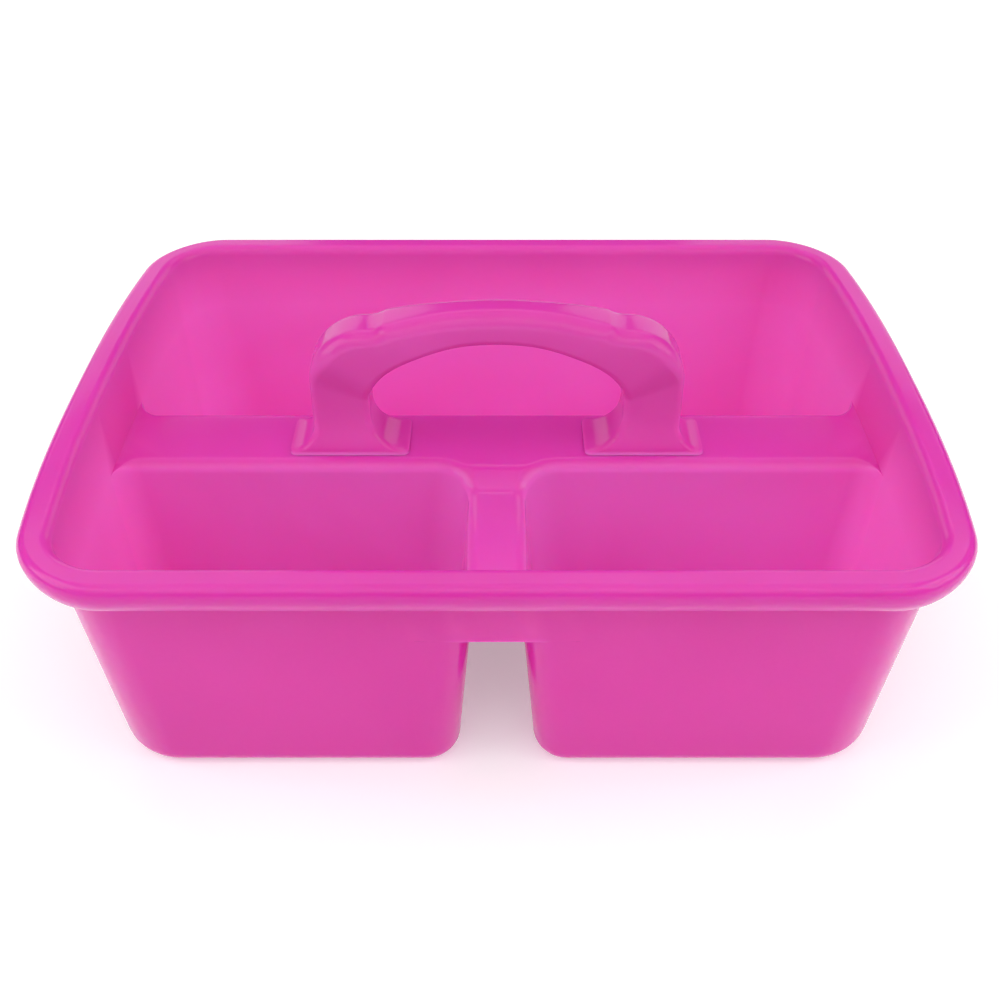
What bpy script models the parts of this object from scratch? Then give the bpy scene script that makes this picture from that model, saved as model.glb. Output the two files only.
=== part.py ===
"""A carrying caddy for cleaning supplies.

One moulded tray with three compartments round a hollow T-shaped divider, an arched handle that stands on the
divider's ridge, and four self-tapping screws that hold the handle from inside the ridge.

Metres, +Z up. The origin is the centre of the base. +X runs along the length, and -Y is the front.
"""

import math

import bmesh
import bpy
from mathutils import Matrix

# Tray: overall size
LENGTH = 0.400  # over the rim, left to right
WIDTH = 0.300  # over the rim, front to back
HEIGHT = 0.129  # top of the rim above the base
END_BOW = 0.012  # how far each end's middle stands out past its corners
BOW_POWER = 2.5
WALL = 0.0022
DRAFT = math.radians(4.4)

# Tray: rim, rolled outwards and down into a skirt
RIM_CORNER = 0.037
RIM_INSET = 0.0149  # from the rim's outer edge to the inner face of the wall, at the top of the wall
RIM_ROUND = 0.0048
SKIRT_DROP = 0.0137
SKIRT_TUCK = 0.0035  # how far the skirt's foot is curled back in under the rim

# Tray: compartments
CORNER_GROWTH = 0.03  # gain in a corner's radius for each unit of depth
FLOOR_FILLET = 0.008
JUNCTION_FILLET = 0.011  # where the divider meets the outer wall
T_FILLET = 0.017  # where the front divider meets the ridge

# Tray: the T-shaped divider, a ridge that runs end to end and a lower divider from its middle to the front
RIDGE_TOP = 0.0945
RIDGE_HALF_WIDTH = 0.0223
DIVIDER_DROP = 0.0055
DIVIDER_REACH = (0.030, 0.075)  # from the middle: the ridge's height is lowered fully, and not at all
DIVIDER_HALF_WIDTH = 0.013
DIVIDER_ROUND = 0.006

# Handle: an arch between two posts, hollow from below
HANDLE_WALL = 0.0026
POST_INNER = 0.0605
POST_OUTER = 0.088
POST_TOP = 0.1588
SHOULDER_ROUND = 0.027
CROWN_TOP = 0.168
CROWN_RADIUS = 0.210
CROWN_END = 0.052  # where the crown begins to turn into the top of the post
PALM_SPRING = 0.121  # height at which the underside of the arch leaves the posts
PALM_TOP = 0.1515
FOOT_OUTER_FLARE = 0.012
FOOT_INNER_FLARE = 0.018
FOOT_FRONT_FLARE = 0.005
FOOT_EDGE = 0.001
POST_HALF_DEPTH = 0.011
SHOULDER_HALF_DEPTH = 0.0132
GRIP_HALF_DEPTH = 0.0105
POST_EDGE = 0.0035
SHOULDER_EDGE = 0.0075
GRIP_EDGE = 0.0075
PALM_EDGE = 0.004
POST_HOLLOW_TOP = 0.136
GRIP_HOLLOW_HALF = 0.048
GRIP_HOLLOW_HALF_DEPTH = 0.005
GRIP_BAYS = 6
RIB_THICKNESS = 0.0018

# Screws: pan head, self-tapping
SCREW_X = (0.0675, 0.0810)
SCREW_RADIUS = 0.0019
SCREW_LENGTH = 0.016
SCREW_POINT = 0.003
HEAD_RADIUS = 0.004
HEAD_HEIGHT = 0.0026
HEAD_DOME = 0.0013
RECESS_SPAN = 0.0046
RECESS_WIDTH = 0.0009
RECESS_DEPTH = 0.0013
HOLE_CLEARANCE = 0.0004
BOSS_RADIUS = 0.0042
BOSS_SPARE_DEPTH = 0.002

# Left between two pieces that touch
CONTACT_GAP = 0.0003
# How far a cutter runs past the face that it opens
OVERCUT = 0.006

# Fineness of the rounded stretches
CORNER_STEPS = 6
SIDE_STEPS = 3
ROLL_STEPS = 3
SKIRT_STEPS = 3
END_STEPS = 3
POST_STEPS = 3
SHOULDER_STEPS = 10
CREASE_STEPS = 4
CROWN_STEPS = 8
EDGE_STEPS = 3
BAY_STEPS = 3
TURN_STEPS = 20

QUARTER = math.radians(90)
LEAN = math.tan(DRAFT)

# Linear colours
PINK = (0.767, 0.053, 0.392, 1.0)
ZINC = (0.62, 0.63, 0.64, 1.0)


def clear_scene():
    for old in list(bpy.data.objects):
        bpy.data.objects.remove(old, do_unlink=True)


def make_material(name, colour, roughness, metallic):
    material = bpy.data.materials.new(name)
    material.use_nodes = True
    shader = material.node_tree.nodes["Principled BSDF"]
    shader.inputs["Base Color"].default_value = colour
    shader.inputs["Roughness"].default_value = roughness
    shader.inputs["Metallic"].default_value = metallic
    return material


def make_object(name, builder, material=None):
    mesh = bpy.data.meshes.new(name)
    builder.normal_update()
    bmesh.ops.triangulate(builder, faces=[face for face in builder.faces if len(face.verts) > 4])
    builder.to_mesh(mesh)
    builder.free()
    mesh.shade_smooth()
    mesh.set_sharp_from_angle(angle=math.radians(35))
    made = bpy.data.objects.new(name, mesh)
    bpy.context.collection.objects.link(made)
    if material:
        mesh.materials.append(material)
    return made


def cut(target, cutter):
    """Takes the cutter's shape out of the target, and keeps the cutter as a guide."""
    cutter.hide_render = True
    cutter.display_type = "WIRE"
    change = target.modifiers.new(cutter.name, "BOOLEAN")
    change.operation = "DIFFERENCE"
    change.solver = "EXACT"
    change.object = cutter


# ---- Tray ----


def wall_top():
    return HEIGHT - RIM_ROUND


def wall_half(outer_size):
    """Half the inside of the tray at the ridge's height, across a side that is outer_size over the rim."""
    return outer_size / 2 - RIM_INSET - (wall_top() - RIDGE_TOP) * LEAN


def compartments():
    """The rear, left and right compartments' corners at the ridge's height.

    They go counterclockwise from the front right. A corner is (x, y, radius, roll at its start, roll at its
    end). The roll is 1 along the divider, whose top edge is rounded over, and 0 along the outer wall. A
    corner with no radius takes the outer wall's.
    """
    end = wall_half(LENGTH)
    side = wall_half(WIDTH)
    half = DIVIDER_HALF_WIDTH
    rear = (
        (end, RIDGE_HALF_WIDTH, JUNCTION_FILLET, 1, 0),
        (end, side, None, 0, 0),
        (-end, side, None, 0, 0),
        (-end, RIDGE_HALF_WIDTH, JUNCTION_FILLET, 0, 1),
    )
    left = (
        (-half, -side, JUNCTION_FILLET, 0, 1),
        (-half, -RIDGE_HALF_WIDTH, T_FILLET, 1, 1),
        (-end, -RIDGE_HALF_WIDTH, JUNCTION_FILLET, 1, 0),
        (-end, -side, None, 0, 0),
    )
    right = (
        (end, -side, None, 0, 0),
        (end, -RIDGE_HALF_WIDTH, JUNCTION_FILLET, 0, 1),
        (half, -RIDGE_HALF_WIDTH, T_FILLET, 1, 1),
        (half, -side, JUNCTION_FILLET, 1, 0),
    )
    return rear, left, right


def corner_reach(radius, z):
    """How far a corner's arc centre lies from the corner along each side, at height z."""
    if radius is None:
        depth = max(0.0, wall_top() - z)
        return RIM_CORNER - RIM_INSET + (CORNER_GROWTH + LEAN) * depth - LEAN * (wall_top() - RIDGE_TOP)
    depth = max(0.0, RIDGE_TOP - z)
    return radius + (CORNER_GROWTH + LEAN) * depth


def compartment_outline(corners, z, inset, roll):
    """Points round a compartment, moved inwards by inset, with its divider edges moved outwards by roll."""
    arcs = []
    for quarter, (x, y, radius, roll_start, roll_end) in enumerate(corners):
        toward_x = 1 if quarter in (0, 1) else -1
        toward_y = 1 if quarter in (1, 2) else -1
        reach = corner_reach(radius, z)
        centre_x = x - toward_x * reach
        centre_y = y - toward_y * reach
        arc = []
        for step in range(CORNER_STEPS + 1):
            share = step / CORNER_STEPS
            angle = QUARTER * (quarter - 1 + share)
            from_wall = roll_start + (roll_end - roll_start) * share
            distance = reach - inset + roll * (1 - (1 - from_wall**3) ** 2)
            arc.append((centre_x + distance * math.cos(angle), centre_y + distance * math.sin(angle)))
        arcs.append(arc)
    points = []
    for arc, following in zip(arcs, arcs[1:] + arcs[:1]):
        points += arc + between(arc[-1], following[0], SIDE_STEPS)
    return points


def between(start, end, steps):
    """The points that part a straight stretch into equal steps, without its ends."""
    return [tuple(a + (b - a) * step / steps for a, b in zip(start, end)) for step in range(1, steps)]


def cyclic(items, first, last):
    """The items from index first round to index last."""
    return [items[(first + k) % len(items)] for k in range((last - first) % len(items) + 1)]


def wall_span(corners):
    """The first and last points of a compartment's outline that lie on the outer wall."""
    stride = CORNER_STEPS + SIDE_STEPS
    rolls = [corner[3:] for corner in corners]
    return rolls.index((1, 0)) * stride + CORNER_STEPS, rolls.index((0, 1)) * stride


def compartment_profile(offset):
    """Rings from the floor to the ridge's height as (z, inset, roll), this far below the inside."""
    rings = []
    fillet_z = WALL + FLOOR_FILLET
    fillet_inset = (RIDGE_TOP - fillet_z) * LEAN + FLOOR_FILLET / math.cos(DRAFT)
    fillet = FLOOR_FILLET + offset
    for step in range(ROLL_STEPS + 1):
        angle = (QUARTER - DRAFT) * step / ROLL_STEPS
        rings.append((fillet_z - fillet * math.cos(angle), fillet_inset - fillet * math.sin(angle), 0.0))
    edge = DIVIDER_ROUND - offset
    edge_inset = DIVIDER_ROUND * (LEAN - 1 / math.cos(DRAFT))
    for step in range(ROLL_STEPS + 1):
        angle = DRAFT + (QUARTER - DRAFT) * step / ROLL_STEPS
        z = RIDGE_TOP - DIVIDER_ROUND + edge * math.sin(angle)
        wall_inset = (RIDGE_TOP - z) * LEAN - offset / math.cos(DRAFT)
        rings.append((z, wall_inset, wall_inset - edge_inset - edge * math.cos(angle)))
    return rings


def rim_profile(offset):
    """Rings from the wall's top over the rim to the skirt's foot, as (z, distance in from the rim's edge)."""
    turn = RIM_ROUND - offset
    rings = []
    for step in range(ROLL_STEPS + 1):
        angle = DRAFT + (QUARTER - DRAFT) * step / ROLL_STEPS
        rings.append((wall_top() + turn * math.sin(angle), RIM_INSET - RIM_ROUND + turn * math.cos(angle)))
    for step in range(ROLL_STEPS + 1):
        angle = QUARTER * step / ROLL_STEPS
        rings.append((wall_top() + turn * math.cos(angle), RIM_ROUND - turn * math.sin(angle)))
    for step in range(1, SKIRT_STEPS + 1):
        share = step / SKIRT_STEPS
        z = wall_top() - (SKIRT_DROP - RIM_ROUND) * share
        rings.append((z, SKIRT_TUCK * share**2 + offset))
    return rings


def rim_outline(distance_in):
    """Points round the tray this far in from the rim's edge, in step with the compartments' wall points."""
    inset = distance_in - RIM_INSET - (wall_top() - RIDGE_TOP) * LEAN
    stretches = []
    for corners in compartments():
        outline = compartment_outline(corners, wall_top(), inset, 0.0)
        stretches.append(cyclic(outline, *wall_span(corners)))
    points = []
    for stretch, following in zip(stretches, stretches[1:] + stretches[:1]):
        points += stretch + between(stretch[-1], following[0], END_STEPS)
    return points


def ease(value, start, end):
    """0 at the start, 1 at the end, and level at both."""
    share = min(1.0, max(0.0, (value - start) / (end - start)))
    return share**2 * (3 - 2 * share)


def dip(x, y, z):
    """How far the front divider's surface lies below the ridge's, for a point at height z on the ridge."""
    if z > RIDGE_TOP:
        return 0.0
    forward = ease(-y, RIDGE_HALF_WIDTH, RIDGE_HALF_WIDTH + T_FILLET)
    beside = 1 - ease(abs(x), *DIVIDER_REACH)
    floor = WALL + FLOOR_FILLET
    return DIVIDER_DROP * forward * beside * max(0.0, (z - floor) / (RIDGE_TOP - floor))


def add_ring(builder, points, z):
    """Vertices at height z, drawn in towards the front and back so that the tray's ends are bowed."""
    ring = []
    for x, y in points:
        bow = END_BOW / (LENGTH / 2) * abs(y / (WIDTH / 2)) ** BOW_POWER
        ring.append(builder.verts.new((x * (1 - bow), y, z - dip(x, y, z))))
    return ring


def bridge(builder, ring, following):
    """Quads from one counterclockwise ring to the next, facing inwards where the rings climb."""
    for i, corner in enumerate(ring):
        j = (i + 1) % len(ring)
        builder.faces.new((ring[j], corner, following[i], following[j]))


def tray_surface(builder, offset):
    """The tray's inside as a sheet, or the sheet this far below it. Returns the ring at the skirt's foot."""
    tops = []
    for corners in compartments():
        profile = compartment_profile(offset)
        outlines = [compartment_outline(corners, *level) for level in profile]
        rings = [add_ring(builder, outline, level[0]) for outline, level in zip(outlines, profile)]
        builder.faces.new(rings[0])
        for ring, following in zip(rings, rings[1:]):
            bridge(builder, ring, following)
        tops.append((rings[-1], outlines[-1], *wall_span(corners)))
    wall = []
    divider_top = []
    for (ring, outline, first, last), following in zip(tops, tops[1:] + tops[:1]):
        gap = between(outline[last], following[1][following[2]], END_STEPS)
        gap_ring = add_ring(builder, gap, RIDGE_TOP - offset)
        wall += cyclic(ring, first, last) + gap_ring
        divider_top += list(reversed(cyclic(ring, last, first))) + gap_ring
    builder.faces.new(divider_top)
    rings = [wall] + [add_ring(builder, rim_outline(distance), z) for z, distance in rim_profile(offset)]
    for ring, following in zip(rings, rings[1:]):
        bridge(builder, ring, following)
    return rings[-1]


def build_tray(material):
    builder = bmesh.new()
    under_foot = tray_surface(builder, WALL)
    bmesh.ops.reverse_faces(builder, faces=builder.faces[:])
    foot = tray_surface(builder, 0.0)
    bridge(builder, foot, under_foot)
    tray = make_object("tray", builder, material)
    radius = SCREW_RADIUS + HOLE_CLEARANCE
    for label, x in screw_places():
        hole = upright_cylinder(radius, RIDGE_TOP - WALL - OVERCUT, RIDGE_TOP + OVERCUT, x)
        cut(tray, make_object("ridge_hole_" + label, hole))
    return tray


# ---- Handle ----


def arc(centre_x, centre_z, half_x, half_z, start, end, steps):
    """Points along part of an ellipse, with angles in quarter turns from +X towards +Z."""
    points = []
    for step in range(steps + 1):
        angle = QUARTER * (start + (end - start) * step / steps)
        points.append((centre_x + half_x * math.cos(angle), centre_z + half_z * math.sin(angle)))
    return points


def curve(start, middle, end, steps):
    """Points along a quadratic curve, without its ends."""
    points = []
    for step in range(1, steps):
        t = step / steps
        pull = 2 * t * (1 - t)
        points.append(tuple((1 - t) ** 2 * a + pull * b + t**2 * c for a, b, c in zip(start, middle, end)))
    return points


def crown_height(x, drop=0.0):
    return CROWN_TOP - CROWN_RADIUS + math.sqrt((CROWN_RADIUS - drop) ** 2 - x**2)


def outer_side():
    """The handle's right-hand outer outline, up from the foot to the middle of the crown."""
    flare = RIDGE_TOP + CONTACT_GAP + FOOT_EDGE
    turn = FOOT_OUTER_FLARE
    foot = arc(POST_OUTER + turn, flare + turn, turn, turn, 3, 2, CORNER_STEPS)
    bend = POST_OUTER - SHOULDER_ROUND
    shoulder = arc(bend, POST_TOP - SHOULDER_ROUND, SHOULDER_ROUND, SHOULDER_ROUND, 0, 1, SHOULDER_STEPS)
    crown_end = (CROWN_END, crown_height(CROWN_END))
    post = between(foot[-1], shoulder[0], POST_STEPS)
    valley = curve(shoulder[-1], ((bend + CROWN_END) / 2, POST_TOP), crown_end, CREASE_STEPS)
    crown = [(x, crown_height(x)) for x, _ in between(crown_end, (0, 0), CROWN_STEPS)]
    top = [crown_end] + crown + [(0, CROWN_TOP)]
    return [(foot[0][0], flare - FOOT_EDGE)] + foot + post + shoulder + valley + top


def inner_side(count):
    """The outline of the hand opening on the right, in step with the outer outline's points."""
    flare = RIDGE_TOP + CONTACT_GAP + FOOT_EDGE
    turn = FOOT_INNER_FLARE
    foot = arc(POST_INNER - turn, flare + turn, turn, turn, 3, 4, CORNER_STEPS)
    palm_start = (POST_INNER, PALM_SPRING)
    post = between(foot[-1], palm_start, POST_STEPS)
    before = [(foot[0][0], flare - FOOT_EDGE)] + foot + post
    palm = arc(0, PALM_SPRING, POST_INNER, PALM_TOP - PALM_SPRING, 0, 1, count - len(before) - 1)
    return before + palm


def depths(outer):
    """Half the handle's depth, and its outer and inner edges' radii, at a point of the outer outline."""
    x, z = outer
    flare = RIDGE_TOP + CONTACT_GAP + FOOT_INNER_FLARE
    if x >= POST_OUTER or z < flare:
        share = min(1.0, max(0.0, (flare - z) / FOOT_INNER_FLARE))
        return POST_HALF_DEPTH + FOOT_FRONT_FLARE * (1 - math.sqrt(1 - share**2)), POST_EDGE, POST_EDGE
    shoulder = ease(z, POST_TOP - SHOULDER_ROUND, POST_TOP - SHOULDER_ROUND / 3)
    grip = 1 - ease(x, CROWN_END / 3, POST_INNER)
    half = POST_HALF_DEPTH + (SHOULDER_HALF_DEPTH - POST_HALF_DEPTH) * shoulder
    edge = POST_EDGE + (SHOULDER_EDGE - POST_EDGE) * shoulder
    return half + (GRIP_HALF_DEPTH - half) * grip, edge + (GRIP_EDGE - edge) * grip, PALM_EDGE


def section(outer, inner, half, outer_edge, inner_edge):
    """A ring round the handle, in the plane of Y and the line from the inner outline to the outer one."""
    span = math.dist(outer, inner)
    along = [(a - b) / span for a, b in zip(outer, inner)]
    corners = (
        (outer, 1, outer_edge),
        (inner, -1, inner_edge),
        (inner, -1, inner_edge),
        (outer, 1, outer_edge),
    )
    ring = []
    for quarter, (corner, sign, edge) in enumerate(corners):
        side = 1 if quarter in (0, 1) else -1
        for step in range(EDGE_STEPS + 1):
            angle = QUARTER * (quarter + step / EDGE_STEPS)
            reach = edge * (math.cos(angle) - sign)
            y = side * (half - edge) + edge * math.sin(angle)
            ring.append((corner[0] + along[0] * reach, y, corner[1] + along[1] * reach))
    return ring


def handle_body():
    outer = outer_side()
    right = [section(a, b, *depths(a)) for a, b in zip(outer, inner_side(len(outer)))]
    left = [[(-x, y, z) for x, y, z in ring] for ring in reversed(right[:-1])]
    builder = bmesh.new()
    rings = [[builder.verts.new(point) for point in ring] for ring in right + left]
    for ring, following in zip(rings, rings[1:]):
        bridge(builder, ring, following)
    builder.faces.new(rings[0])
    builder.faces.new(list(reversed(rings[-1])))
    return builder


def slab(builder, outline, half):
    """An XZ outline, clockwise as seen from the front, made solid this far to the front and back."""
    near = [builder.verts.new((x, -half, z)) for x, z in outline]
    far = [builder.verts.new((x, half, z)) for x, z in outline]
    builder.faces.new(list(reversed(near)))
    builder.faces.new(far)
    for i, corner in enumerate(near):
        j = (i + 1) % len(near)
        builder.faces.new((corner, near[j], far[j], far[i]))


def post_hollow(side):
    """The space inside a post, open at its foot."""
    low = RIDGE_TOP + CONTACT_GAP - OVERCUT
    edges = [side * (POST_INNER + HANDLE_WALL), side * (POST_OUTER - HANDLE_WALL)]
    left, right = min(edges), max(edges)
    outline = [(left, low), (left, POST_HOLLOW_TOP), (right, POST_HOLLOW_TOP), (right, low)]
    builder = bmesh.new()
    slab(builder, outline, POST_HALF_DEPTH - HANDLE_WALL)
    return builder


def grip_hollow():
    """The bays along the underside of the grip, with a rib between each two."""
    builder = bmesh.new()
    pitch = 2 * GRIP_HOLLOW_HALF / GRIP_BAYS
    for bay in range(GRIP_BAYS):
        left = -GRIP_HOLLOW_HALF + bay * pitch + RIB_THICKNESS / 2
        right = left + pitch - RIB_THICKNESS
        roof = []
        floor = []
        for step in range(BAY_STEPS + 1):
            x = left + (right - left) * step / BAY_STEPS
            palm = PALM_SPRING + (PALM_TOP - PALM_SPRING) * math.sqrt(1 - (x / POST_INNER) ** 2)
            roof.append((x, crown_height(x, HANDLE_WALL)))
            floor.append((x, palm - OVERCUT))
        slab(builder, roof + list(reversed(floor)), GRIP_HOLLOW_HALF_DEPTH)
    return builder


def build_handle(material):
    handle = make_object("handle", handle_body(), material)
    foot = RIDGE_TOP + CONTACT_GAP
    for name, side in (("left", -1), ("right", 1)):
        hollow = make_object("post_hollow_" + name, post_hollow(side))
        for label, x in screw_places():
            if x * side > 0:
                boss = upright_cylinder(BOSS_RADIUS, foot - 2 * OVERCUT, POST_HOLLOW_TOP + OVERCUT, x)
                cut(hollow, make_object("boss_" + label, boss))
        cut(handle, hollow)
    cut(handle, make_object("grip_hollow", grip_hollow()))
    for label, x in screw_places():
        top = RIDGE_TOP - WALL + SCREW_LENGTH + BOSS_SPARE_DEPTH
        bore = upright_cylinder(SCREW_RADIUS + HOLE_CLEARANCE, foot - OVERCUT, top, x)
        cut(handle, make_object("handle_bore_" + label, bore))
    return handle


# ---- Screws ----


def screw_places():
    inner, outer = SCREW_X
    return (("left_outer", -outer), ("left_inner", -inner), ("right_inner", inner), ("right_outer", outer))


def upright_cylinder(radius, low, high, x):
    builder = bmesh.new()
    place = Matrix.Translation((x, 0, (low + high) / 2))
    bmesh.ops.create_cone(
        builder,
        cap_ends=True,
        segments=TURN_STEPS,
        radius1=radius,
        radius2=radius,
        depth=high - low,
        matrix=place,
    )
    return builder


def turned(profile):
    """A solid turned about Z from (radius, z) points that run from the bottom of the axis to its top."""
    builder = bmesh.new()
    poles = [builder.verts.new((0, 0, profile[end][1])) for end in (0, -1)]
    rings = []
    for radius, z in profile[1:-1]:
        angles = [4 * QUARTER * k / TURN_STEPS for k in range(TURN_STEPS)]
        rings.append([builder.verts.new((radius * math.cos(a), radius * math.sin(a), z)) for a in angles])
    for i in range(TURN_STEPS):
        j = (i + 1) % TURN_STEPS
        builder.faces.new((poles[0], rings[0][j], rings[0][i]))
        builder.faces.new((poles[1], rings[-1][i], rings[-1][j]))
        for ring, following in zip(rings, rings[1:]):
            builder.faces.new((ring[i], ring[j], following[j], following[i]))
    return builder


def screw_profile():
    """From the crown of the head, at the bottom, to the point at the top. The head seats at z = 0."""
    dome = []
    for step in range(EDGE_STEPS + 1):
        angle = QUARTER * step / EDGE_STEPS
        dome.append((HEAD_RADIUS * math.sin(angle), -HEAD_HEIGHT + HEAD_DOME * (1 - math.cos(angle))))
    return dome + [
        (HEAD_RADIUS, 0.0),
        (SCREW_RADIUS, 0.0),
        (SCREW_RADIUS, SCREW_LENGTH - SCREW_POINT),
        (SCREW_RADIUS / 4, SCREW_LENGTH - SCREW_POINT / 10),
        (0.0, SCREW_LENGTH),
    ]


def build_screw(label, x, material):
    screw = make_object("handle_screw_" + label, turned(screw_profile()), material)
    screw.location = (x, 0, RIDGE_TOP - WALL - CONTACT_GAP)
    for name, size in (("x", (RECESS_SPAN, RECESS_WIDTH)), ("y", (RECESS_WIDTH, RECESS_SPAN))):
        builder = bmesh.new()
        place = Matrix.Translation((0, 0, -HEAD_HEIGHT)) @ Matrix.Diagonal((*size, 2 * RECESS_DEPTH, 1))
        bmesh.ops.create_cube(builder, size=1, matrix=place)
        slot = make_object(f"recess_{name}_{label}", builder)
        slot.parent = screw
        cut(screw, slot)


def main():
    clear_scene()
    build_tray(make_material("tray_plastic", PINK, 0.25, 0.0))
    build_handle(make_material("handle_plastic", PINK, 0.22, 0.0))
    zinc = make_material("screw_zinc", ZINC, 0.35, 1.0)
    for label, x in screw_places():
        build_screw(label, x, zinc)


main()
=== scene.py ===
"""The looks of the cleaning caddy: fine meshes, materials, a plain floor, soft lights and the camera.

The tray and the handle are rebuilt here from the CAD's own sizes with finer curves, and stand in for the CAD
nodes. The screws keep their CAD shapes. Metres, +Z up. The origin is the centre of the base. +X runs along
the length, and -Y is the front.
"""

import math

import bmesh
import bpy
from mathutils import Matrix, Vector


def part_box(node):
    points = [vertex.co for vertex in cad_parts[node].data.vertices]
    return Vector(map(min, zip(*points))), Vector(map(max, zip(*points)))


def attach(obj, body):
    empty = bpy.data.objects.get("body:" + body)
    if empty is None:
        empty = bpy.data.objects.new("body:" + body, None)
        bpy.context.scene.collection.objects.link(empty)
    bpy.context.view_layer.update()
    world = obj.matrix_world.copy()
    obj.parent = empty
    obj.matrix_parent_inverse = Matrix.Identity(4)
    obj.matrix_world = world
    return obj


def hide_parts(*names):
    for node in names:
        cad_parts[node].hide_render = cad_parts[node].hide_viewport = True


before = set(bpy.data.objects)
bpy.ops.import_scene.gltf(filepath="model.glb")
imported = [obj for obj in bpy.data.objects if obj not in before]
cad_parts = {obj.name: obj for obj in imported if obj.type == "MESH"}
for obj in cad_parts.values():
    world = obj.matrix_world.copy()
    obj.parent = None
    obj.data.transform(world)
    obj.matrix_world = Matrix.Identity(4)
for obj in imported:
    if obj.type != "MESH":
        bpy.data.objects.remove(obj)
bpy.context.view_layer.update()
TRAY_LOW, TRAY_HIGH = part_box("tray")
LENGTH = TRAY_HIGH.x - TRAY_LOW.x
WIDTH = TRAY_HIGH.y - TRAY_LOW.y
HEIGHT = TRAY_HIGH.z - TRAY_LOW.z

# Tray: overall size
END_BOW = 0.012  # how far each end's middle stands out past its corners
BOW_POWER = 2.5  # the higher, the straighter the middle of the end
WALL = 0.0022
DRAFT = math.radians(4.4)

# Tray: rim, rolled outwards and down into a skirt
RIM_CORNER = 0.037
RIM_INSET = 0.0149  # from the rim's outer edge to the inner face of the wall, at the top of the wall
RIM_ROUND = 0.0048
SKIRT_DROP = 0.0137
SKIRT_TUCK = 0.0035  # how far the skirt's foot is curled back in under the rim

# Tray: compartments
CORNER_GROWTH = 0.03  # gain in a corner's radius for each unit of depth
FLOOR_FILLET = 0.008
JUNCTION_FILLET = 0.011  # where the divider meets the outer wall
T_FILLET = 0.017  # where the front divider meets the ridge

# Tray: the T-shaped divider, a ridge that runs end to end and a lower divider from its middle to the front
RIDGE_TOP = 0.0945
RIDGE_HALF_WIDTH = 0.0223
DIVIDER_DROP = 0.0055
DIVIDER_REACH = (0.030, 0.075)  # from the middle: the ridge's height is lowered fully, and not at all
DIVIDER_HALF_WIDTH = 0.013
DIVIDER_ROUND = 0.006

# Handle: an arch between two posts, hollow from below
HANDLE_WALL = 0.0026
POST_INNER = 0.0605
POST_OUTER = 0.088
POST_TOP = 0.1588
SHOULDER_ROUND = 0.027
CROWN_TOP = 0.168
CROWN_RADIUS = 0.210
CROWN_END = 0.052  # where the crown begins to turn into the top of the post
PALM_SPRING = 0.121  # height at which the underside of the arch leaves the posts
PALM_TOP = 0.1515
FOOT_OUTER_FLARE = 0.012
FOOT_INNER_FLARE = 0.018
FOOT_FRONT_FLARE = 0.005
FOOT_EDGE = 0.001
POST_HALF_DEPTH = 0.011
SHOULDER_HALF_DEPTH = 0.0132
GRIP_HALF_DEPTH = 0.0105
POST_EDGE = 0.0035
SHOULDER_EDGE = 0.0075
GRIP_EDGE = 0.0075
PALM_EDGE = 0.0040
POST_HOLLOW_TOP = 0.136
GRIP_HOLLOW_HALF = 0.048
GRIP_HOLLOW_HALF_DEPTH = 0.005
GRIP_BAYS = 6
RIB_THICKNESS = 0.0018

# Screws
SCREW_X = (0.0675, 0.0810)
SCREW_RADIUS = 0.0019
SCREW_LENGTH = 0.016
HOLE_CLEARANCE = 0.0004
BOSS_RADIUS = 0.0042
BOSS_SPARE_DEPTH = 0.002

# Left between two pieces that touch
CONTACT_GAP = 0.0003
# How far a cutter runs past the face that it opens
OVERCUT = 0.006

# Fineness of the rounded stretches
CORNER_STEPS = 18
SIDE_STEPS = 12
ROLL_STEPS = 8
SKIRT_STEPS = 6
END_STEPS = 6
POST_STEPS = 6
SHOULDER_STEPS = 24
CREASE_STEPS = 10
CROWN_STEPS = 24
EDGE_STEPS = 6
RAMP_STEPS = 12
BAY_STEPS = 8
TURN_STEPS = 32
# Points closer than this to a cutting plane count as on it
CUT_TOLERANCE = 1e-6

# Edges that turn by more than this stay sharp, and broad faces pull on the shading by this weight
TRAY_SHARP = math.radians(32)
HANDLE_SHARP = math.radians(40)
BROAD_FACE_WEIGHT = 60

QUARTER = math.radians(90)
LEAN = math.tan(DRAFT)

# Linear colours of the plastic, in the darkest and the palest clouds of pigment, and where it is rubbed
TRAY_PIGMENTS = ((0.660, 0.018, 0.360, 1.0), (0.690, 0.024, 0.384, 1.0))
HANDLE_PIGMENTS = ((0.70, 0.028, 0.370, 1.0), (0.73, 0.034, 0.390, 1.0))
PIGMENT_RUBBED = (0.83, 0.065, 0.47, 1.0)
# Painted fill light: a paler pink laid thickest over the compartments, which the lamps leave in shade, and
# thin on the dividers' upward faces. Also a little painted light on the rim's upward faces, and painted fill
# on the handle's faces that do not look up
PAINTED_FILL_COLOUR = (0.95, 0.160, 0.670, 1.0)
PAINTED_FILL_STRENGTH = 0.85
PAINTED_FILL_UNEVENNESS = 0.15
DIVIDER_TOP_FILL_CUT = 0.7
RIDGE_TOP_FILL_CUT = 0.93
RIM_TOP_PAINTED_LIGHT = 0.1
HANDLE_SIDE_PAINTED_FILL = 0.65
# The upward part of a surface's normal where that cut on the dividers, the rim's painted light, or the fading
# of the handle's painted fill begins and where it is whole
DIVIDER_FACING = (0.3, 0.9)
RIM_FACING = (0.0, 0.7)
HANDLE_FACING = (0.1, 0.8)
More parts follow.
